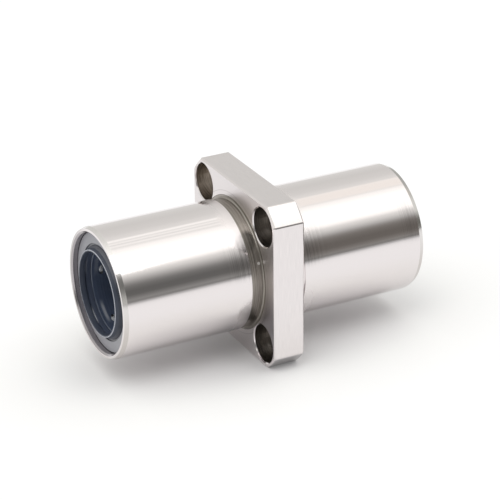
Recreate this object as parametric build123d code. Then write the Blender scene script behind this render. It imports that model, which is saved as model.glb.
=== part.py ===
from build123d import *
import os
from math import asin, cos, degrees, pi, radians, sin, sqrt

# Flanged linear bearing for a round shaft, long pattern with the flange in the middle.
# Millimetres. The bearing axis is X, the origin is on it at the middle of the sleeve,
# and the counterbored face of the flange looks along -X.

# Shaft and balls
shaft_radius = 10.0
ball_diameter = 3.175
circuit_count = 5
first_circuit_angle = 4.0        # middle of the first ball circuit, from +Y towards +Z
turn_radius = 3.0                # the balls go round this at each end of a circuit
return_lift = 0.65               # returning balls run this much further out than loaded ones
ramp_length = 2.0                # over which a ball rises out of the loaded row
ball_side_clearance = 0.0625     # ball to channel wall
ball_spacing_clearance = 0.04    # ball to ball, at the turns

# Sleeve, turned from one bar together with the flange and ground outside
sleeve_length = 80.0
sleeve_wall = 2.0                # behind the return rows
raceway_clearance = 0.01
relief_clearance = 0.175         # returning ball to sleeve
raceway_half_width = 2.2
raceway_run_in = 0.6             # the raceway ends this far before the ramp begins
end_chamfer_length = 1.1
end_chamfer_height = 0.4
mouth_chamfer = 0.4             # lead-in for the seal, inside the end face
seat_step = 0.6                  # the seal seat is this much wider than the relief bore
ring_groove_depth = 0.5
relief_band_width = 3.1          # turned band beside the flange, where the grinding stops
relief_band_depth = 0.3
relief_band_fillet = 0.4
root_step_width = 0.4            # flat ring outside that fillet, turned into the flange's face
root_step_depth = 0.15

# Flange
flange_thickness = 8.0
flange_overhang = 5.0            # from the ground outside to each flat side
flange_edge_chamfer = 0.4
flange_corner_blend = 0.8        # between each flat side and the rounded corner beside it
bolt_wall = 0.75                 # metal left on each side of a counterbore, along the diagonal
bolt_hole_diameter = 5.5
counterbore_diameter = 9.5
counterbore_depth = 5.1
hole_edge_chamfer = 0.25

# End seals
recess_depth = 1.6               # the seal's flat face lies this far inside the sleeve
seal_thickness = 1.5
seal_seat_clearance = 0.03
seal_edge_chamfer = 0.15
collar_tip_depth = 0.1
collar_base_wall = 1.4           # collar radii are counted from the shaft
collar_tip_wall = 0.5
collar_mouth_gap = 0.12
collar_fillet = 0.12
foot_groove_width = 0.4          # round the collar's foot
foot_groove_depth = 0.3
lip_clearance = 0.03
lip_depth = 0.9
lip_length = 0.5
lip_taper_length = 0.5
undercut_gap = 0.6

# Retaining rings, cages and the spacer between the cages
ring_thickness = 1.2
ring_opening = 24.0              # degrees missing from the open ring
ring_end_fillet = 0.4
ring_groove_clearance = 0.05
axial_clearance = 0.1
cage_bore_gap = 0.3
cage_clearance = 0.2
cage_end_wall = 0.9
cage_edge_chamfer = 0.2
spacer_width = 2.0
spacer_wall = 2.2

# Radii that follow
ball_radius = ball_diameter / 2
channel_radius = ball_radius + ball_side_clearance
loaded_row_radius = shaft_radius + ball_radius
return_row_radius = loaded_row_radius + return_lift
raceway_radius = loaded_row_radius + ball_radius + raceway_clearance
relief_radius = return_row_radius + ball_radius + relief_clearance
sleeve_radius = relief_radius + sleeve_wall
seat_radius = relief_radius + seat_step
ring_groove_radius = seat_radius + ring_groove_depth
relief_band_radius = sleeve_radius - relief_band_depth
root_step_radius = relief_band_radius + relief_band_fillet + root_step_width
cage_bore_radius = shaft_radius + cage_bore_gap
cage_radius = raceway_radius - cage_clearance
rib_radius = relief_radius - cage_clearance
ring_bore_radius = cage_radius + cage_clearance
ring_radius = ring_groove_radius - ring_groove_clearance

# Flange sizes that follow
flange_half = sleeve_radius + flange_overhang
counterbore_radius = counterbore_diameter / 2
bolt_circle_radius = sleeve_radius + bolt_wall + counterbore_radius
flange_corner_radius = bolt_circle_radius + counterbore_radius + bolt_wall
bolt_offset = bolt_circle_radius * sin(radians(45))

# Places along the axis, from the front end inwards
front_end = -sleeve_length / 2
seal_face = front_end + recess_depth
seal_back = seal_face + seal_thickness
cage_front = seal_back + axial_clearance
groove_front = cage_front
ring_front = groove_front + ring_groove_clearance
ring_back = ring_front + ring_thickness
groove_back = ring_back + ring_groove_clearance
rib_front = ring_back + axial_clearance
cage_back = -spacer_width / 2 - axial_clearance
circuit_middle = (cage_front + cage_back) / 2
straight_half = (cage_back - cage_front) / 2 - cage_end_wall - channel_radius - turn_radius

# Heights of the two straight rows above the plane that holds the bearing axis
loaded_height = sqrt(loaded_row_radius**2 - turn_radius**2)
return_height = sqrt(return_row_radius**2 - turn_radius**2)
loaded_half = straight_half - ramp_length
loaded_angle = degrees(asin(turn_radius / loaded_row_radius))
raceway_half_angle = degrees(asin(raceway_half_width / raceway_radius))
circuit_pitch = 360 / circuit_count
first_raceway_angle = first_circuit_angle + loaded_angle

# The way that a ball goes round its circuit
ramp_route = sqrt(ramp_length**2 + (return_height - loaded_height) ** 2)
turn_route = pi * turn_radius
circuit_route = 2 * (straight_half + turn_route + ramp_route + loaded_half)


def radial_direction(angle):
    return Vector(0, cos(radians(angle)), sin(radians(angle)))


def turned(points):
    """A solid of revolution about X from (place along X, radius) points."""
    return revolve(make_face(Polyline(*points, close=True)), Axis.X)


def along_axis(sketch, start, end):
    """A sketch drawn across the axis, extruded from start to end."""
    return extrude(Plane.YZ.offset(start) * sketch, end - start)


def ring_sector(inner, outer, start_angle, sweep):
    """A piece of a flat ring, drawn on the plane across the axis."""
    end_angle = start_angle + sweep
    outer_arc = CenterArc((0, 0), outer, start_angle, sweep)
    inner_arc = CenterArc((0, 0), inner, start_angle, sweep)
    first_side = Line(inner_arc @ 0, outer_arc @ 0)
    last_side = Line(inner_arc @ 1, outer_arc @ 1)
    return make_face([outer_arc, inner_arc, first_side, last_side])


def turned_end_for_end(piece):
    """The same piece at the other end, turned about the first raceway's middle line."""
    return piece.rotate(Axis((0, 0, 0), radial_direction(first_raceway_angle)), 180)


def per_circuit(piece):
    """Copies of a piece made for the circuit that points straight up, one at each circuit."""
    upright = 90
    angles = [first_circuit_angle + circuit_pitch * i for i in range(circuit_count)]
    return [Rot(X=angle - upright) * piece for angle in angles]


# The sleeve with its flange

def sleeve_outside():
    half_length = sleeve_length / 2
    chamfer_radius = sleeve_radius - end_chamfer_height
    band_end = flange_thickness / 2 + relief_band_width
    points = [
        (-half_length, 0),
        (-half_length, chamfer_radius),
        (-half_length + end_chamfer_length, sleeve_radius),
        (-band_end, sleeve_radius),
        (-band_end, relief_band_radius),
        (band_end, relief_band_radius),
        (band_end, sleeve_radius),
        (half_length - end_chamfer_length, sleeve_radius),
        (half_length, chamfer_radius),
        (half_length, 0),
    ]
    return turned(points)


def flange_plate():
    square = Rectangle(2 * flange_half, 2 * flange_half)
    outline = square & Circle(flange_corner_radius)
    outline = fillet(outline.vertices(), flange_corner_blend)
    plate = along_axis(outline, -flange_thickness / 2, flange_thickness / 2)
    faces = plate.faces().filter_by(Axis.X)
    return chamfer(faces.edges(), flange_edge_chamfer)


def bolt_hole():
    """Counterbored hole on the axis, ready to be moved to its place."""
    front = -flange_thickness / 2
    back = flange_thickness / 2
    floor = front + counterbore_depth
    hole_radius = bolt_hole_diameter / 2
    points = [
        (front, 0),
        (front, counterbore_radius + hole_edge_chamfer),
        (front + hole_edge_chamfer, counterbore_radius),
        (floor, counterbore_radius),
        (floor, hole_radius),
        (back - hole_edge_chamfer, hole_radius),
        (back, hole_radius + hole_edge_chamfer),
        (back, 0),
    ]
    return turned(points)


def bolt_holes():
    signs = [(1, 1), (-1, 1), (-1, -1), (1, -1)]
    return [Pos(0, y * bolt_offset, z * bolt_offset) * bolt_hole() for y, z in signs]


def bore_half():
    """The front half of the bore before its relief channels are cut."""
    raceway_half = loaded_half - raceway_run_in
    cone_length = ramp_length + raceway_run_in / 2
    points = [
        (front_end, 0),
        (front_end, seat_radius + mouth_chamfer),
        (front_end + mouth_chamfer, seat_radius),
        (groove_front, seat_radius),
        (groove_front, ring_groove_radius),
        (groove_back, ring_groove_radius),
        (groove_back, relief_radius),
        (circuit_middle - raceway_half - cone_length, relief_radius),
        (circuit_middle - raceway_half, raceway_radius),
        (circuit_middle + raceway_half, raceway_radius),
        (circuit_middle + raceway_half + cone_length, relief_radius),
        (0, relief_radius),
        (0, 0),
    ]
    return turned(points)


def relief_channels():
    """The lengths between the raceways, cut back so that returning balls run free."""
    sweep = circuit_pitch - 2 * raceway_half_angle
    first = first_raceway_angle + raceway_half_angle
    sector = ring_sector(shaft_radius, relief_radius, first, sweep)
    channel = along_axis(sector, groove_back, -groove_back)
    return [Rot(X=circuit_pitch * i) * channel for i in range(circuit_count)]


def root_step():
    """The ring that is turned into the flange's front face, round the sleeve."""
    face = -flange_thickness / 2
    floor = face + root_step_depth
    points = [
        (face, relief_band_radius),
        (floor, relief_band_radius),
        (floor, root_step_radius),
        (face, root_step_radius + root_step_depth),
    ]
    return turned(points)


def flanged_sleeve():
    front_step = root_step()
    plate = flange_plate() - [front_step, turned_end_for_end(front_step)]
    body = sleeve_outside() + plate
    root_place = flange_thickness / 2 - root_step_depth
    roots = body.edges().filter_by(GeomType.CIRCLE).filter_by(
        lambda edge: abs(edge.radius - relief_band_radius) < 1e-6
        and abs(abs(edge.center().X) - root_place) < 1e-6
    )
    body = fillet(roots, relief_band_fillet)
    front_bore = bore_half()
    body -= [front_bore, turned_end_for_end(front_bore)]
    body -= relief_channels()
    return body - bolt_holes()


# The end seals

def end_seal():
    lip_radius = shaft_radius + lip_clearance
    undercut_radius = shaft_radius + undercut_gap
    outer_radius = seat_radius - seal_seat_clearance
    collar_tip = front_end + collar_tip_depth
    lip_front = front_end + lip_depth
    lip_back = lip_front + lip_length
    foot_radius = shaft_radius + collar_base_wall
    groove_radius = foot_radius + foot_groove_width
    groove_floor = seal_face + foot_groove_depth
    tip = (collar_tip, shaft_radius + collar_tip_wall)
    mouth = (collar_tip, shaft_radius + collar_mouth_gap)
    outline = make_face(Polyline(
        (seal_back, outer_radius),
        (seal_face + seal_edge_chamfer, outer_radius),
        (seal_face, outer_radius - seal_edge_chamfer),
        (seal_face, groove_radius),
        (groove_floor, groove_radius),
        (groove_floor, foot_radius),
        tip,
        mouth,
        (lip_front, lip_radius),
        (lip_back, lip_radius),
        (lip_back + lip_taper_length, undercut_radius),
        (seal_back, undercut_radius),
        close=True,
    ))
    rounded = [
        corner for corner in outline.vertices()
        if any((Vector(corner) - Vector(*point)).length < 1e-6 for point in (tip, mouth))
    ]
    return revolve(fillet(rounded, collar_fillet), Axis.X)


# The open rings that hold the cages in

def retaining_ring():
    opening_middle = first_raceway_angle + 180
    start = opening_middle + ring_opening / 2
    sector = ring_sector(ring_bore_radius, ring_radius, start, 360 - ring_opening)
    ring = along_axis(sector, ring_front, ring_back)
    return fillet(ring.edges().filter_by(Axis.X), ring_end_fillet)


# The moulded cages and their channels

def along_channel(start, end):
    """A round bar of the channel's size between two points of a ball's route."""
    route = Vector(*end) - Vector(*start)
    plane = Plane(origin=start, z_dir=route)
    return extrude(plane * Circle(channel_radius), route.length)


def straight_channel(row_side, points):
    """A channel along one straight row, open outwards from the balls' middles."""
    first, last = points[0], points[-1]
    outline = Polyline(*points, (last[0], relief_radius), (first[0], relief_radius), close=True)
    wall_plane = Plane.XZ.offset(-row_side * turn_radius)
    walls = extrude(wall_plane * make_face(outline), channel_radius, both=True)
    route = [(x, row_side * turn_radius, height) for x, height in points]
    bars = [along_channel(a, b) for a, b in zip(route, route[1:])]
    joints = [Pos(*point) * Sphere(channel_radius) for point in route[1:-1]]
    return walls + bars + joints


def turn_channel(side):
    """The half round at one end of a circuit."""
    floor = Plane.XZ * Pos(turn_radius, return_height) * Circle(channel_radius)
    above = Pos(turn_radius, (return_height + relief_radius) / 2)
    wall = Plane.XZ * above * Rectangle(2 * channel_radius, relief_radius - return_height)
    half_round = revolve(floor, Axis.Z, 180) + revolve(wall, Axis.Z, 180)
    facing = -90 if side > 0 else 90
    return Pos(side * straight_half, 0, 0) * Rot(Z=facing) * half_round


def circuit_channel():
    """Everything that one circuit cuts out of a cage, with the circuit pointing straight up."""
    loaded = [
        (-straight_half, return_height),
        (-loaded_half, loaded_height),
        (loaded_half, loaded_height),
        (straight_half, return_height),
    ]
    returning = [(-straight_half, return_height), (straight_half, return_height)]
    channel = straight_channel(-1, loaded) + straight_channel(1, returning)
    channel += [turn_channel(-1), turn_channel(1)]
    return Pos(circuit_middle, 0, 0) * channel


def cage_blank():
    """Tube that fits between raceways and shaft, with ribs that fill the relief channels."""
    tube = along_axis(Circle(cage_radius) - Circle(cage_bore_radius), cage_front, cage_back)
    side_clearance = degrees(cage_clearance / raceway_radius)
    sweep = circuit_pitch - 2 * (raceway_half_angle + side_clearance)
    start = first_raceway_angle + raceway_half_angle + side_clearance
    sector = ring_sector(cage_bore_radius, rib_radius, start, sweep)
    rib = along_axis(sector, rib_front, cage_back)
    return tube + [Rot(X=circuit_pitch * i) * rib for i in range(circuit_count)]


def ball_cage():
    blank = cage_blank()
    mouths = blank.edges().filter_by(GeomType.CIRCLE).filter_by(
        lambda edge: abs(edge.radius - cage_bore_radius) < 1e-6
    )
    return chamfer(mouths, cage_edge_chamfer) - per_circuit(circuit_channel())


def cage_spacer():
    outline = Circle(rib_radius) - Circle(rib_radius - spacer_wall)
    ring = along_axis(outline, -spacer_width / 2, spacer_width / 2)
    return chamfer(ring.edges(), cage_edge_chamfer)


# The balls

def route_point(distance):
    """Where a ball's middle is, after going this far round the upward circuit."""
    if distance < 2 * straight_half:
        return Vector(-straight_half + distance, turn_radius, return_height)
    distance -= 2 * straight_half
    if distance < turn_route:
        return turn_point(1, pi / 2 - distance / turn_radius)
    distance -= turn_route
    if distance < ramp_route:
        return ramp_point(1, distance / ramp_route)
    distance -= ramp_route
    if distance < 2 * loaded_half:
        return Vector(loaded_half - distance, -turn_radius, loaded_height)
    distance -= 2 * loaded_half
    if distance < ramp_route:
        return ramp_point(-1, 1 - distance / ramp_route)
    distance -= ramp_route
    return turn_point(-1, -pi / 2 - distance / turn_radius)


def turn_point(side, angle):
    x = side * straight_half + turn_radius * cos(angle)
    return Vector(x, turn_radius * sin(angle), return_height)


def ramp_point(side, share):
    """A point of the ramp, from share 0 at its top to share 1 at its foot."""
    x = side * (straight_half - share * ramp_length)
    height = return_height - share * (return_height - loaded_height)
    return Vector(x, -turn_radius, height)


def ball_middles():
    """Evenly spaced middles, as many as leave the balls clear of each other at the turns.

    The first ball is at the middle of the turn that is nearer to the end of the sleeve.
    """
    chord = ball_diameter + ball_spacing_clearance
    shortest_step = 2 * turn_radius * asin(chord / (2 * turn_radius))
    count = int(circuit_route / shortest_step)
    first_ball = circuit_route - turn_route / 2
    distances = [(first_ball + circuit_route * i / count) % circuit_route for i in range(count)]
    return [route_point(distance) for distance in distances]


def ball_circuits():
    """One group of loose balls for each circuit of the front cage."""
    at_cage = Pos(circuit_middle, 0, 0)
    balls = [at_cage * Pos(middle) * Sphere(ball_radius) for middle in ball_middles()]
    return per_circuit(Compound(children=balls))


def write(name, piece):
    export_step(piece, f"parts/{name}.step")
    solids = piece.solids()
    print(name, "solids", len(solids), "volume", round(sum(s.volume for s in solids), 1))


def main():
    os.makedirs("parts", exist_ok=True)
    print("outside diameter", round(2 * sleeve_radius, 3), "flange side", round(2 * flange_half, 3))
    print("bolt circle", round(2 * bolt_circle_radius, 3), "bolt spacing", round(2 * bolt_offset, 3))
    print("corner round", round(2 * flange_corner_radius, 3), "balls a circuit", len(ball_middles()))
    write("flanged_sleeve", flanged_sleeve())
    write("cage_spacer", cage_spacer())
    both_ends = {
        "end_seal": end_seal(),
        "retaining_ring": retaining_ring(),
        "ball_cage": ball_cage(),
    }
    for number, balls in enumerate(ball_circuits(), start=1):
        both_ends[f"ball_circuit_{number}"] = balls
    for name, piece in both_ends.items():
        write(f"{name}_front", piece)
        write(f"{name}_rear", turned_end_for_end(piece))


main()
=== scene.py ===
# %% [markdown]
# # A flanged linear bearing in a small white studio
#
# The bearing is a ground steel sleeve with a square flange round its middle. Balls run
# in plastic cages inside it, and a rubber seal closes each end. Its shape comes from the
# CAD model, which stays as it is. What this lesson adds is the light, the camera and a
# finish for every surface, made from shader nodes alone.

# %% Load the CAD model
import bpy
from math import cos, pi, radians, sin
from mathutils import Matrix, Vector


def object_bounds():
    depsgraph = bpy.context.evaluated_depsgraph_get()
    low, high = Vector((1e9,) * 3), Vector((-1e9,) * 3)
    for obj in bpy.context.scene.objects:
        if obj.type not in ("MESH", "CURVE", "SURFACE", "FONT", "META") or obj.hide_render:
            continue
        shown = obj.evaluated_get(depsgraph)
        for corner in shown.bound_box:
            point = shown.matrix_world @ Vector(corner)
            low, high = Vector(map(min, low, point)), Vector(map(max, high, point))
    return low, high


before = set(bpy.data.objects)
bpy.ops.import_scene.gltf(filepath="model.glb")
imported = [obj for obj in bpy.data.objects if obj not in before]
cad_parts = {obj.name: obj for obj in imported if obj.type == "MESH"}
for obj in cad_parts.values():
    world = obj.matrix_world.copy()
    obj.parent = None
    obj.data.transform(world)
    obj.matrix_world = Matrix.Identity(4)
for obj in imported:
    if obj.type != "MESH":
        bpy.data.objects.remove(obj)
cad_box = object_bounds()
print("CAD nodes", len(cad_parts), "box", [[round(v, 4) for v in corner] for corner in cad_box])

# %% [markdown]
# ## Shader sums written as Python
#
# Shader nodes are easiest to read as formulas. A Wire stands for one output socket, and
# its operators add Math nodes, so a mask can be written as one line. A Bench is the node
# tree that the wires belong to, and its node method adds any other kind of node. Its
# masks run from 0 to 1: multiplying two keeps what both have in common.

# %% Wires
class Wire:
    """One output of a node. Arithmetic on it adds Math nodes."""

    def __init__(self, bench, socket):
        self.bench = bench
        self.socket = socket

    def sum_node(self, operation, *values):
        return self.bench.node("ShaderNodeMath", {"operation": operation}, dict(enumerate(values)))

    def __add__(self, other):
        return self.sum_node("ADD", self, other)

    def __radd__(self, other):
        return self.sum_node("ADD", other, self)

    def __sub__(self, other):
        return self.sum_node("SUBTRACT", self, other)

    def __rsub__(self, other):
        return self.sum_node("SUBTRACT", other, self)

    def __mul__(self, other):
        return self.sum_node("MULTIPLY", self, other)

    def __rmul__(self, other):
        return self.sum_node("MULTIPLY", other, self)

    def __truediv__(self, other):
        return self.sum_node("DIVIDE", self, other)

    def __pow__(self, other):
        return self.sum_node("POWER", self, other)

    def __abs__(self):
        return self.sum_node("ABSOLUTE", self)

    def __lt__(self, other):
        return self.sum_node("LESS_THAN", self, other)

    def __gt__(self, other):
        return self.sum_node("GREATER_THAN", self, other)


def count_methods(kind):
    return sum(callable(made) for made in vars(kind).values())


print("methods of a wire", count_methods(Wire))

# %% Benches
class Bench:
    """The node tree of one material, or of the world."""

    def __init__(self, owner):
        owner.use_nodes = True
        self.tree = owner.node_tree
        self.tree.nodes.clear()

    def node(self, kind, settings=None, sockets=None, output=0):
        """Adds a node: its settings first, then a value or a wire for each named socket."""
        made = self.tree.nodes.new(kind)
        for name, value in (settings or {}).items():
            if name == "stops":
                self.set_stops(made.color_ramp, value)
            else:
                setattr(made, name, value)
        for name, value in (sockets or {}).items():
            socket = made.inputs[name] if isinstance(name, int) else self.socket_called(made, name)
            if isinstance(value, Wire):
                self.tree.links.new(value.socket, socket)
            else:
                socket.default_value = value
        return Wire(self, made.outputs[output]) if made.outputs else None

    def socket_called(self, made, name):
        """A socket by its name, or by its identifier, since a Mix node has several with one name."""
        return next(s for s in made.inputs if s.identifier == name or (s.name == name and s.enabled))

    def set_stops(self, ramp, stops):
        ramp.elements.remove(ramp.elements[-1])
        for number, (place, colour) in enumerate(stops):
            stop = ramp.elements.new(place) if number else ramp.elements[0]
            stop.position = place
            stop.color = (*colour, 1)

    def parts(self, vector):
        """The three numbers of a vector, a wire each."""
        split = self.node("ShaderNodeSeparateXYZ", sockets={"Vector": vector})
        return [Wire(self, output) for output in split.socket.node.outputs]

    def blend(self, mask, first, second):
        """The first colour where the mask is 0 and the second where it is 1."""
        colours = {"Factor_Float": mask, "A_Color": self.opaque(first), "B_Color": self.opaque(second)}
        return self.node("ShaderNodeMix", {"data_type": "RGBA"}, colours, output=2)

    def opaque(self, colour):
        return colour if isinstance(colour, Wire) else (*colour, 1)

    def between(self, value, low, high):
        """A mask that is 1 where the value lies from low to high."""
        return (value > low) * (value < high)

    def rise(self, value, low, high):
        """A soft step up, 0 below low and 1 above high."""
        limits = {"Value": value, "From Min": low, "From Max": high}
        return self.node("ShaderNodeMapRange", {"interpolation_type": "SMOOTHSTEP"}, limits)

    def fall(self, value, low, high):
        """A soft step down, 1 below low and 0 above high."""
        return self.rise(value * -1, -high, -low)

    def hump(self, value, low, high, soft):
        """A soft mask, 1 from low to high and 0 further out than soft."""
        return self.rise(value, low - soft, low) * self.fall(value, high, high + soft)

    def lined(self, grain, spread, dark, light):
        """Two colours that follow a grain. A small spread gives the lines hard edges."""
        return self.blend(self.rise(grain, 0.5 - spread, 0.5 + spread), dark, light)


print("methods of a bench", count_methods(Bench))

# %% [markdown]
# ## The camera
#
# The photo was taken from the front left, a little above, with a long lens. A long lens
# keeps the two ends of the sleeve nearly the same size. The camera stands on a sphere
# round the bearing, at an azimuth counted from -Y towards +X and an elevation.

# %% Place the camera
image_width = 500                               # pixels
focal_pixels = 2082.9
film_width = 36                                 # mm
camera_azimuth = radians(-27.329)
camera_elevation = radians(25.2)
camera_roll = radians(-0.631)
camera_distance = 0.50284                       # metres, and so is the target
camera_target = Vector((0.00057, 0, 0.00213))
nearest_seen = 0.01

away = Vector((
    sin(camera_azimuth) * cos(camera_elevation),
    -cos(camera_azimuth) * cos(camera_elevation),
    sin(camera_elevation),
))
level_right = Vector((cos(camera_azimuth), sin(camera_azimuth), 0))
level_up = away.cross(level_right)
right = level_right * cos(camera_roll) + level_up * sin(camera_roll)
up = level_up * cos(camera_roll) - level_right * sin(camera_roll)

camera = bpy.data.objects.new("camera", bpy.data.cameras.new("camera"))
bpy.context.scene.collection.objects.link(camera)
camera.matrix_world = Matrix((right, up, away)).transposed().to_4x4()
camera.location = camera_target + away * camera_distance
camera.data.sensor_width = film_width
camera.data.lens = film_width * focal_pixels / image_width
camera.data.clip_start = nearest_seen
bpy.context.scene.camera = camera
bpy.context.scene.view_settings.view_transform = "Standard"
print("lens", round(camera.data.lens, 1), "mm, camera at", [round(v, 3) for v in camera.location])

# %% [markdown]
# ## The studio's stripes of light
#
# Polished steel has hardly any colour of its own. It shows the room: a long white light
# overhead, a pale wall behind, a pale table below, and the dark of the room beyond the
# table as one dark band along the sleeve. Lamps and walls could be built for this. The
# world is quicker, as it can hold them as stripes that run along the bearing, so that one
# angle round the X axis gives the brightness. Each stripe is an angle in degrees above
# the front horizon and a level. The dark is deepest to the right of the bearing, so the
# right and the left have a list each.

# %% Stripes of light
warm_white = (1.0, 1.0, 0.968)
right_stripes = [
    (-180, 0.8), (-1, 0.36), (1, 0.27), (2.2, 0.24), (4.2, 0.315), (7, 0.25),
    (10, 0.2), (13, 0.15), (20, 0.145), (26, 0.19), (29, 0.23), (33, 0.34),
    (40, 0.61), (44, 0.79), (48, 0.92), (52, 1.22), (56, 1.4), (84, 1.4),
    (95, 1.2), (99.3, 0.96), (102, 1.22), (105.5, 0.9), (108, 1.24), (110.5, 0.9),
    (114.3, 1.3), (118, 0.91), (124, 0.88), (130, 0.81), (150, 0.75), (180, 0.8),
]
left_stripes = [
    (-180, 0.8), (0, 0.62), (12, 0.48), (20, 0.28), (30, 0.2), (42, 0.22),
    (52, 0.6), (62, 1.35), (90, 1.3), (120, 0.9), (180, 0.8),
]


def world_stops(stripes):
    """Ramp stops, which run from 0 to 1, for angles that run from -180 to 180 degrees."""
    return [((angle + 180) / 360, tuple(level * tint for tint in warm_white)) for angle, level in stripes]


levels = [level for angle, level in right_stripes]
print("stripes on the right", len(levels), "with levels from", min(levels), "to", max(levels))

# %% [markdown]
# ## The world
#
# The far half of the sleeve mirrors a part of the room further to the right. There the
# back of the overhead light is even, without the narrow stripes, and the dark band is a
# little brown. Past both ends of the bearing the room is dim at every height. These
# places are limits on the X part of the direction that a ray leaves in, from -1 to 1.

# %% Light the world
left_to_right = (-0.15, 0.2)
far_right = (0.416, 0.434)
beyond_right_end, right_dimming = (0.52, 0.66), 0.45
beyond_left_end, left_dimming = (0.6, 0.8), 0.3
even_stretch = (103, 113, 8)                    # degrees: low, high and soft
brown_stretch, brown_share = (8, 30, 10), 0.35
even_white = (1.1, 1.06, 1.0)
brown_dark = (0.2, 0.165, 0.135)
dim_grey = (0.2, 0.205, 0.19)

world = bpy.data.worlds.new("studio")
bpy.context.scene.world = world
room = Bench(world)
toward_x, toward_y, toward_z = room.parts(room.node("ShaderNodeTexCoord"))
turn = toward_z.sum_node("ARCTAN2", toward_z, toward_y * -1) / (2 * pi) + 0.5
degrees_up = turn * 360 - 180
on_right = room.node("ShaderNodeValToRGB", {"stops": world_stops(right_stripes)}, {"Fac": turn})
on_left = room.node("ShaderNodeValToRGB", {"stops": world_stops(left_stripes)}, {"Fac": turn})

in_far_right = room.rise(toward_x, *far_right)
on_right = room.blend(in_far_right * room.hump(degrees_up, *even_stretch), on_right, even_white)
brown_band = in_far_right * room.hump(degrees_up, *brown_stretch)
on_right = room.blend(brown_band * brown_share, on_right, brown_dark)
glow = room.blend(room.rise(toward_x, *left_to_right), on_left, on_right)
past_right = room.rise(toward_x, *beyond_right_end) * right_dimming
past_left = room.rise(toward_x * -1, *beyond_left_end) * left_dimming
glow = room.blend(past_right + past_left, glow, dim_grey)
room_light = room.node("ShaderNodeBackground", sockets={"Color": glow, "Strength": 1.0})
room.node("ShaderNodeOutputWorld", sockets={"Surface": room_light})
print("nodes in the world", len(room.tree.nodes))

# %% [markdown]
# ## The table
#
# The flange stands on its lower flat side. The table is one large pale disc under it.

# %% Set the table
table_radius = 3.0
lowest = cad_box[0][2]
bpy.ops.mesh.primitive_circle_add(vertices=96, radius=table_radius, fill_type="NGON", location=(0, 0, lowest))
table = bpy.context.object
table.name = "table"
print("table at", round(lowest, 4), "m")

# %% [markdown]
# ## The paper on the table
#
# A plain white paper would turn grey away from the light. This one glows, hardly at all
# under the bearing and most of its light a few centimetres away, so that it reads as a
# white background and still takes the bearing's soft shadow. The steel shows that shadow
# along its underside. Right under the bearing the paper is a little darker, a painted
# shadow that deepens the real one. Towards the front it slowly gets darker too, which
# gives the dark band on the sleeve its soft lower edge. Distances are in metres, and
# those along the bearing count half, as it is long.

# %% Finish the table
under_piece = (0.014, 0.03)
glow_starts = (0.01, 0.06)
front_darkens = (0.08, 0.7)
least_glow, more_glow, glow_strength = 0.05, 0.85, 1.05
paper_white = (0.93, 0.925, 0.92)
paper_painted_shadow = (0.8, 0.79, 0.8)
glow_white = (1, 1, 1)
front_grey = (0.5, 0.5, 0.5)

table_finish = bpy.data.materials.new("pale table")
pale = Bench(table_finish)
spot_x, spot_y, _ = pale.parts(pale.node("ShaderNodeTexCoord", output=3))
from_piece = ((spot_x * 0.5) ** 2 + spot_y ** 2) ** 0.5
in_front = pale.rise(spot_y * -1, *front_darkens)
paper = pale.blend(in_front, paper_white, front_grey)
# Painted shadow: the paper is darker right under the bearing.
paper = pale.blend(pale.rise(from_piece, *under_piece), paper_painted_shadow, paper)
matt = pale.node("ShaderNodeBsdfDiffuse", sockets={"Color": paper})
glow_colour = pale.blend(in_front, glow_white, front_grey)
lit = pale.node("ShaderNodeEmission", sockets={"Color": glow_colour, "Strength": glow_strength})
glow_share = least_glow + more_glow * pale.rise(from_piece, *glow_starts)
surface = pale.node("ShaderNodeMixShader", sockets={0: glow_share, 1: matt, 2: lit})
pale.node("ShaderNodeOutputMaterial", sockets={"Surface": surface})
table.data.materials.append(table_finish)
print("table finish", table_finish.name)

# %% [markdown]
# ## One soft lamp
#
# A wide lamp above and in front gives the flange and the seal their shape. It is wide
# and near, so its shadows have no hard edge.

# %% Hang the lamp
lamp_data = bpy.data.lights.new("soft lamp", "AREA")
lamp_data.shape = "RECTANGLE"
lamp_data.size = 0.9
lamp_data.size_y = 0.45
lamp_data.energy = 1.8
lamp = bpy.data.objects.new("soft lamp", lamp_data)
bpy.context.scene.collection.objects.link(lamp)
lamp.location = (-0.1, -0.35, 0.75)
lamp.rotation_euler = (Vector((0, 0, 0)) - lamp.location).to_track_quat("-Z", "Y").to_euler()
print("lamp", lamp_data.energy, "W")

# %% [markdown]
# ## Knowing where we are on a piece
#
# The sleeve and its flange are one piece of steel, but each surface was made in another
# way: ground, turned, milled or drilled. The finish is chosen by place. The distance from
# the bearing's axis and the place along it tell the surfaces apart, in millimetres.

# %% Places on a piece
mm_in_a_metre = 1000


class Place:
    """Wires for a point on a piece: its x, y, z and distance from the axis in mm, and its turn."""

    def __init__(self, bench):
        self.bench = bench
        point = bench.node("ShaderNodeTexCoord", output=3)
        scaled = {0: point, "Scale": mm_in_a_metre}
        self.point = bench.node("ShaderNodeVectorMath", {"operation": "SCALE"}, scaled)
        self.x, self.y, self.z = bench.parts(self.point)
        self.radius = (self.y * self.y + self.z * self.z) ** 0.5
        self.turn = self.z.sum_node("ARCTAN2", self.z, self.y) / (2 * pi)
        facing = bench.parts(bench.node("ShaderNodeTexCoord", output=1))
        self.face_x = abs(facing[0])

    def grain(self, vector, scale, detail=3.0, roughness=0.5):
        """Smooth noise from 0 to 1 at a point."""
        sockets = {"Vector": vector, "Scale": scale, "Detail": detail, "Roughness": roughness}
        return self.bench.node("ShaderNodeTexNoise", sockets=sockets)

    def lines(self, x, y, z, detail=4.0):
        """Noise drawn out into lines, by numbers that change faster one way than another."""
        vector = self.bench.node("ShaderNodeCombineXYZ", sockets={"X": x, "Y": y, "Z": z})
        return self.grain(vector, 1.0, detail)

    def streak(self, along, around):
        """A short soft mark: low, high and soft limits along the axis in mm and round it in degrees."""
        return self.bench.hump(self.x, *along) * self.bench.hump(self.turn * 360, *around)


print("methods of a place", count_methods(Place))

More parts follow.
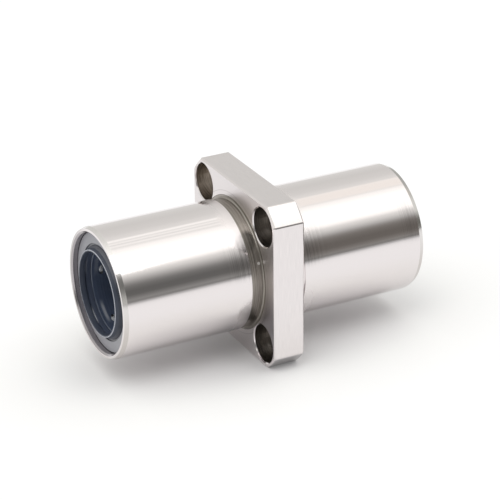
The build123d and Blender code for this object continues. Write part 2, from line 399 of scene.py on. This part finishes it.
# %% [markdown]
# ## Steel
#
# The steel parts share one metal, a little warm, and their finishes differ in how rough
# and how dark they are. A shader for metal needs only a colour, a roughness and fine
# bumps. The same closing nodes serve the rubber and the plastic.

# %% Make a steel surface
steel_white = (0.80, 0.757, 0.755)


def close_finish(bench, height, depth, looks):
    """The closing nodes of a finish: bumps of a depth in metres, then the shader."""
    relief = {"Height": height, "Distance": depth, "Strength": 1.0}
    bumps = bench.node("ShaderNodeBump", sockets=relief)
    shader = bench.node("ShaderNodeBsdfPrincipled", sockets={**looks, "Normal": bumps})
    bench.node("ShaderNodeOutputMaterial", sockets={"Surface": shader})


def metal(bench, colour, roughness, height, depth, metallic=1.0):
    looks = {"Base Color": colour, "Metallic": metallic, "Roughness": roughness}
    close_finish(bench, height, depth, looks)


def darker(colour, share):
    return tuple(part * share for part in colour)


print("steel", steel_white)

# %% [markdown]
# ## Where each finish lies on the sleeve
#
# The masks follow the CAD sizes in millimetres, each a little to one side of the true
# size, so that a limit falls between two surfaces and not on one. The turned band beside
# the flange is a little smaller than the ground outside and ends in a small round at the
# flange. On the far side its colour stops sooner. The four holes are counterbored, and
# they are found by their distance from their own middles. The mask for the counterbores'
# floors goes by that distance alone, so it also takes in a ring round each hole on the
# flange's plain side.

# %% Mark out the sleeve
band_start, band_end, far_band_end = 3.8, 7.12, 6.5
band_inside, band_outside = 15.5, 16.52
chamfer_start, chamfer_inside = 38.9, 15.62
flange_end = 4.1
hole_offset = 15.203
counterbore_edge, floor_edge = 4.86, 4.74
mouth_radius = 15.0
flat_facing, round_facing = 0.95, 0.5           # how much of the normal lies along the axis

sleeve_finish = bpy.data.materials.new("sleeve steel")
sleeve = Bench(sleeve_finish)
at = Place(sleeve)
along = abs(at.x)
down = at.z * -1
forward = at.y * -1

is_band = (at.radius < band_outside) * (at.radius > band_inside)
is_band = is_band * sleeve.between(along, band_start, band_end) * (at.x < far_band_end)
is_end_chamfer = (along > chamfer_start) * (at.radius > chamfer_inside)
is_flange = (at.radius > band_outside) * (along < flange_end)
is_flange_face = is_flange * (at.face_x > flat_facing)
hole_distance = ((abs(at.y) - hole_offset) ** 2 + (abs(at.z) - hole_offset) ** 2) ** 0.5
is_hole = is_flange * (hole_distance < counterbore_edge) * (at.face_x < round_facing)
is_hole_floor = is_flange * (hole_distance < floor_edge) * (at.face_x > flat_facing)
is_inside = at.radius < mouth_radius
print("nodes that mark out the sleeve", len(sleeve.tree.nodes))

# %% [markdown]
# ## The lines that tools leave
#
# A grinding wheel or a turning tool leaves rings, which spread each reflection along the
# axis but not round it. A brush or a mill leaves straight lines. Noise draws both when it
# changes fast one way and hardly at all the other. The rings take y and z and not the
# angle round the axis, because an angle has a seam where a full turn ends. The number
# added to z, or put in its place, keeps two grains from being alike.

# %% Draw the lines
rings = at.lines(at.x * 5, at.y * 0.06, at.z * 0.06)
fine_rings = at.lines(at.x * 9, at.y * 0.04, at.z * 0.04 + 3)
wheel_marks = at.lines(at.x * 4, at.y * 0.05, at.z * 0.05 + 11, detail=2.0)
turning = at.lines(at.x * 7, at.radius * 7, (at.y + at.z) * 0.05, detail=3.0)
brushing = at.lines(at.x * 9, (at.y + at.z) * 0.25, 5)
milling = at.lines(at.y * 0.25, at.z * 7, 7)
drilling = at.lines(at.x * 5 + at.y * 1.5, at.z * 0.3, 9)
clouds = at.grain(at.point, 0.12, 2.0)
print("nodes with the lines", len(sleeve.tree.nodes))

# %% [markdown]
# ## The ground outside
#
# The outside is nearly a mirror, and one pale metal would do for it. On the real one the
# wheel has left duller rings along the side, in a short stretch at each shoulder beside
# the flange and at the far end, and they break up the dark reflection there. Low on the
# near half, towards the flange, the steel is greyer, painted shade for the flange and the
# shadowed table that it reflects there.

# %% Colour the ground outside
side_zone = (4.5, 9.5, 2.5)                     # above the axis: low, high and soft
shoulder_zone = (7.5, 15)                       # from the middle, both ways
far_end_zone, far_end_share = (33, 37), 0.6
dull_share = 0.8
painted_shade_along, painted_shade_down, painted_shade_share = (-18, -8), (7, 13), 0.55
painted_shade_steel = (0.32, 0.3, 0.31)

ground_colour = sleeve.blend(rings, darker(steel_white, 0.985), steel_white)
dulled = sleeve.lined(wheel_marks, 0.15, darker(steel_white, 0.62), darker(steel_white, 0.95))
near_ends = sleeve.fall(along, *shoulder_zone) + sleeve.rise(at.x, *far_end_zone) * far_end_share
dull_zone = near_ends * sleeve.hump(at.z, *side_zone) * dull_share
ground_colour = sleeve.blend(dull_zone, ground_colour, dulled)
# Painted shade: low on the near half, towards the flange, the steel is darker.
painted_shade_zone = sleeve.rise(at.x, *painted_shade_along) * (at.x < 0) * sleeve.rise(down, *painted_shade_down)
ground_colour = sleeve.blend(painted_shade_zone * painted_shade_share, ground_colour, painted_shade_steel)
print("dull side from", side_zone[0], "to", side_zone[1], "mm above the axis")

# %% [markdown]
# ## The end chamfers and the turned band
#
# The chamfers at the ends are turned, with painted shade that makes them darker below than
# above. The band beside the flange is turned too and never ground, so its rings are coarse
# and brown-grey. It has one small nick with a painted glint, made of all that lies within
# 0.37 mm of one point.

# %% Colour the chamfers and the band
chamfer_shade_down = (-4, 5)
chamfer_above, chamfer_shaded_below = (0.76, 0.735, 0.72), (0.62, 0.58, 0.56)
chamfer_lines, chamfer_line_share = (0.5, 0.48, 0.47), 0.15
band_dark, band_light = (0.19, 0.175, 0.155), (0.46, 0.425, 0.385)
nick_x, nick_y, nick_z = -4.7, -14.6, 5.9
nick_radius_squared = 0.14
nick_glint_white = (0.95, 0.93, 0.9)

# Painted shade: the chamfers are darker towards the bottom.
chamfer_colour = sleeve.blend(sleeve.rise(down, *chamfer_shade_down), chamfer_above, chamfer_shaded_below)
ring_marks = sleeve.rise(fine_rings, 0.35, 0.65)
chamfer_colour = sleeve.blend(ring_marks * chamfer_line_share, chamfer_colour, chamfer_lines)
band_colour = sleeve.lined(turning, 0.2, band_dark, band_light)
# A nick with a painted glint: near white within a small ball round one point.
from_nick_squared = (at.x - nick_x) ** 2 + (at.y - nick_y) ** 2 + (at.z - nick_z) ** 2
band_colour = sleeve.blend(from_nick_squared < nick_radius_squared, band_colour, nick_glint_white)
print("nick at", nick_x, nick_y, nick_z, "mm")

# %% [markdown]
# ## The flange
#
# The flange's two faces are milled and its four sides are brushed. A thin line turned
# round the axis marks the faces. A patch on them towards the front, below the middle, has
# painted shade for the dark that the face reflects there. The lowest rounded corners
# have painted shade too, for the shadowed table that they reflect.

# %% Colour the flange
turned_line, turned_line_share = (17.62, 17.8), 0.35
line_grey = (0.3, 0.28, 0.27)
patch_forward, patch_down, patch_bottom, patch_share = (12.5, 17), (-3, 6), (-19, -11), 0.55
patch_shade_grey = (0.22, 0.205, 0.225)
corner_radius, corner_down, corner_shade_share = 26.9, (16.8, 17.8), 0.6
corner_shade_grey = (0.3, 0.3, 0.31)

face_colour = sleeve.blend(milling, darker(steel_white, 0.9), darker(steel_white, 0.98))
on_line = sleeve.between(at.radius, *turned_line)
face_colour = sleeve.blend(on_line * turned_line_share, face_colour, line_grey)
# Painted shade: a patch low towards the front of each face is darker.
painted_shade_patch = sleeve.rise(forward, *patch_forward) * sleeve.rise(down, *patch_down)
painted_shade_patch = painted_shade_patch * sleeve.rise(at.z, *patch_bottom)
face_colour = sleeve.blend(painted_shade_patch * patch_share, face_colour, patch_shade_grey)
side_colour = sleeve.lined(brushing, 0.25, darker(steel_white, 0.93), darker(steel_white, 1.01))
# Painted shade: the lowest rounded corners of the flange are darker.
low_corner_shade = (at.radius > corner_radius) * sleeve.rise(down, *corner_down)
side_colour = sleeve.blend(low_corner_shade * corner_shade_share, side_colour, corner_shade_grey)
print("turned line at", turned_line[0], "to", turned_line[1], "mm from the axis")

# %% [markdown]
# ## The holes, the inside and the far rim
#
# The holes are drilled, with rings down their walls, and the two towards the camera have
# painted shade inside. The sleeve's bore is unpolished. The rim of each end is greyer on
# the side away from the camera. The masks then lay one colour over another, the ground
# outside first and the bore last.

# %% Colour the rest and put the colours together
hole_dark, hole_light = (0.38, 0.345, 0.31), (0.66, 0.61, 0.56)
front_hole_shade, front_hole_shade_share = (0.13, 0.125, 0.125), 0.5
inside_dark, inside_light = (0.38, 0.355, 0.37), (0.47, 0.445, 0.46)
far_rim_zone, far_rim_share = (3, 12), 0.5
far_rim_grey = (0.4, 0.38, 0.37)

hole_colour = sleeve.lined(drilling, 0.15, hole_dark, hole_light)
# Painted shade inside the two holes towards the camera.
hole_colour = sleeve.blend((at.y < 0) * front_hole_shade_share, hole_colour, front_hole_shade)
inside_colour = sleeve.blend(rings, inside_dark, inside_light)

colour = sleeve.blend(is_end_chamfer, ground_colour, chamfer_colour)
far_rim = (along > chamfer_start) * sleeve.rise(at.y, *far_rim_zone)
colour = sleeve.blend(far_rim * far_rim_share, colour, far_rim_grey)
colour = sleeve.blend(is_band, colour, band_colour)
colour = sleeve.blend(is_flange, colour, side_colour)
colour = sleeve.blend(is_flange_face, colour, face_colour)
colour = sleeve.blend(is_hole + is_hole_floor, colour, hole_colour)
colour = sleeve.blend(is_inside, colour, inside_colour)
print("nodes with the colours", len(sleeve.tree.nodes))

# %% [markdown]
# ## How rough the sleeve is
#
# Each surface adds its own share to the roughness and to the height of the bumps, times
# its mask. Just outside the band the wheel has left a rougher edge, most of all above and
# below the middle of the side. Heights are counted in hundredths of a millimetre.

# %% Roughen the sleeve
edge_zone = (8.5, 11.5)                         # from the middle, both ways
edge_above, edge_below, edge_least = (8, 11), (1, 6), 0.05
bump_depth = 0.00001                            # metres

above_or_below = sleeve.rise(at.z, *edge_above) + sleeve.rise(down, *edge_below)
wheel_edge = (along > band_end) * sleeve.fall(along, *edge_zone) * (edge_least + above_or_below)
roughness = 0.06 + 0.03 * clouds + wheel_edge * 0.3 + is_end_chamfer * 0.06
roughness = roughness + is_band * (0.2 + 0.16 * turning)
roughness = roughness + is_flange * (0.06 + 0.06 * brushing)
roughness = roughness + is_flange_face * (0.12 + 0.08 * milling)
roughness = roughness + (is_hole + is_hole_floor) * 0.12
roughness = roughness + is_inside * 0.12

height = fine_rings * (0.2 + wheel_edge * 1.2) * (1 - is_flange) * (1 - is_band)
height = height + is_band * turning * 1.2
height = height + is_flange * (1 - is_flange_face) * brushing * 0.3
height = height + is_flange_face * milling * 0.3
height = height + is_hole * drilling * 1.2
metal(sleeve, colour, roughness, height, bump_depth)
print("nodes in the sleeve's finish", len(sleeve.tree.nodes))

# %% [markdown]
# ## The rubber seals
#
# A seal is moulded rubber, blue-black. Its flat ring shows grey, a painted sheen over the
# rubber, and the top and bottom of its collar's sides have a painted sheen too. The tip of
# the collar has a painted highlight, a pale line. Its bore and the undercut behind the lip
# have painted light, a clearer blue that lifts their shade. Two short pale streaks lie in
# the front seal's bore, one low and one high, where the light catches it. Reflections
# alone could draw them, but the bore is too deep for the lamp, so they are part of the
# colour. The mould has left soft rings inside.

# %% Colour the seals
flat_ring_inside = 11.82                        # the limits are in mm
tip_start, tip_inside = 39.8, 10.35
collar_inside, collar_sheen_zone = 10.7, (4, 10)
bore_outside = 10.9
undercut_inside, undercut_start = 10.3, 38.6
low_streak = {"along": (-38.3, -38.1, 0.2), "around": (-58, -54, 14)}
high_streak = {"along": (-38.3, -38.0, 0.4), "around": (10, 20, 14)}
high_streak_share = 0.12

seal_finish = bpy.data.materials.new("seal rubber")
seal = Bench(seal_finish)
on_seal = Place(seal)
bloom = on_seal.grain(on_seal.point, 0.35)
is_flat_ring = (on_seal.face_x > flat_facing) * (on_seal.radius > flat_ring_inside)
is_tip_highlight = (abs(on_seal.x) > tip_start) * (on_seal.radius > tip_inside)
collar_sheen = (on_seal.radius > collar_inside) * seal.rise(abs(on_seal.z), *collar_sheen_zone)
undercut = seal.between(on_seal.radius, undercut_inside, bore_outside) * (abs(on_seal.x) < undercut_start)
streaks = on_seal.streak(**low_streak) + on_seal.streak(**high_streak) * high_streak_share

rubber = seal.blend(bloom, (0.03, 0.037, 0.055), (0.042, 0.052, 0.076))
# Painted sheen: the top and bottom of the collar's sides are lighter.
rubber = seal.blend(collar_sheen, rubber, (0.15, 0.155, 0.18))
# Painted light: the bore and the undercut behind the lip are a lighter blue that lifts their shade.
rubber = seal.blend(on_seal.radius < bore_outside, rubber, (0.05, 0.061, 0.09))
rubber = seal.blend(undercut, rubber, (0.075, 0.092, 0.14))
rubber = seal.blend(streaks, rubber, (0.9, 0.92, 0.96))
# Painted sheen: the flat ring is grey.
ring_sheen_colour = seal.blend(bloom, (0.32, 0.32, 0.35), (0.37, 0.37, 0.405))
rubber = seal.blend(is_flat_ring, rubber, ring_sheen_colour)
# Painted highlight: a pale line on the collar's tip.
rubber = seal.blend(is_tip_highlight, rubber, (0.46, 0.48, 0.54))
print("nodes in the seal's colour", len(seal.tree.nodes))

# %% Roughen the seals
inner_part = on_seal.radius < 11.3
skin = on_seal.grain(on_seal.point, 9.0, 4.0, 0.6)
mould_rings = on_seal.lines(on_seal.x * 1.6, on_seal.turn * 1.5, 2, detail=2.0)
close_finish(seal, skin * 0.5 + mould_rings * 12 * inner_part, bump_depth, {
    "Base Color": rubber,
    "Roughness": 0.24 + 0.12 * is_flat_ring + 0.16 * inner_part + 0.06 * skin,
    "IOR": 1.5,
})
print("seal finish", seal_finish.name)

# %% [markdown]
# ## The plastic cages
#
# A cage is of plastic, harder and glossier than the seal, with a little blue in it. Its
# mould has left rings as well, and two painted highlights, pale streaks in the front
# one's bore, carry on those of the seal.

# %% Finish the cages
cage_low_streak = {"along": (-35.6, -35.4, 0.5), "around": (-60, -50, 16)}
cage_high_streak = {"along": (-35.6, -35.3, 0.6), "around": (8, 20, 14)}
cage_low_share, cage_high_share = 0.4, 0.12
cage_ring_depth = 0.0001

cage_finish = bpy.data.materials.new("cage plastic")
cage = Bench(cage_finish)
on_cage = Place(cage)
flow = on_cage.grain(on_cage.point, 0.3)
cage_rings = on_cage.lines(on_cage.x * 1.2, on_cage.turn * 1.5, 4, detail=2.0)
# Painted highlights: two pale streaks on the front cage's bore.
cage_highlights = on_cage.streak(**cage_low_streak) * cage_low_share
cage_highlights = cage_highlights + on_cage.streak(**cage_high_streak) * cage_high_share
cage_colour = cage.blend(flow, (0.064, 0.083, 0.132), (0.086, 0.11, 0.172))
cage_colour = cage.blend(cage_highlights, cage_colour, (0.85, 0.87, 0.92))
close_finish(cage, cage_rings, cage_ring_depth, {
    "Base Color": cage_colour,
    "Roughness": 0.2 + 0.06 * flow,
    "IOR": 1.55,
})
print("cage finish", cage_finish.name)

# %% [markdown]
# ## Balls, rings and spacer
#
# The retaining rings and the spacer are plain turned steel, darker than the sleeve. The
# balls are polished steel, but in the dark of the bore a true mirror would look black. A
# whiter surface that is only partly metal catches what light there is.

# %% Finish the balls, rings and spacer
def plain_steel(name, shade, base_roughness, depth, metallic=1.0, white=steel_white):
    """A turned steel of one shade, with bumps of a depth in metres."""
    finish = bpy.data.materials.new(name)
    bench = Bench(finish)
    spot = Place(bench)
    marks = spot.lines(spot.x * 8, spot.turn * 6, 1, detail=3.0)
    tone = bench.blend(marks, darker(white, shade * 0.92), darker(white, shade))
    metal(bench, tone, base_roughness + 0.06 * marks, marks, depth, metallic)
    return finish


ball_finish = plain_steel("ball steel", 1.0, 0.26, 0.0000005, metallic=0.3, white=(0.93, 0.95, 0.98))
ring_finish = plain_steel("ring steel", 0.4, 0.28, 0.000004)
spacer_finish = plain_steel("spacer steel", 0.75, 0.25, 0.000005)
print("steel finishes", ball_finish.name, ring_finish.name, spacer_finish.name)

# %% [markdown]
# ## Give each piece its finish
#
# A CAD piece arrives with a plain material in its slot. The slot takes the new finish, and
# the piece itself is not touched.

# %% Hand out the finishes
finishes = {
    "flanged_sleeve": sleeve_finish,
    "end_seal": seal_finish,
    "ball_cage": cage_finish,
    "ball_circuit": ball_finish,
    "retaining_ring": ring_finish,
    "cage_spacer": spacer_finish,
}
for name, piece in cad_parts.items():
    finish = next(f for start, f in finishes.items() if name.startswith(start))
    for slot in piece.material_slots:
        slot.material = finish
print("finished", len(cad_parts), "pieces")

# %% [markdown]
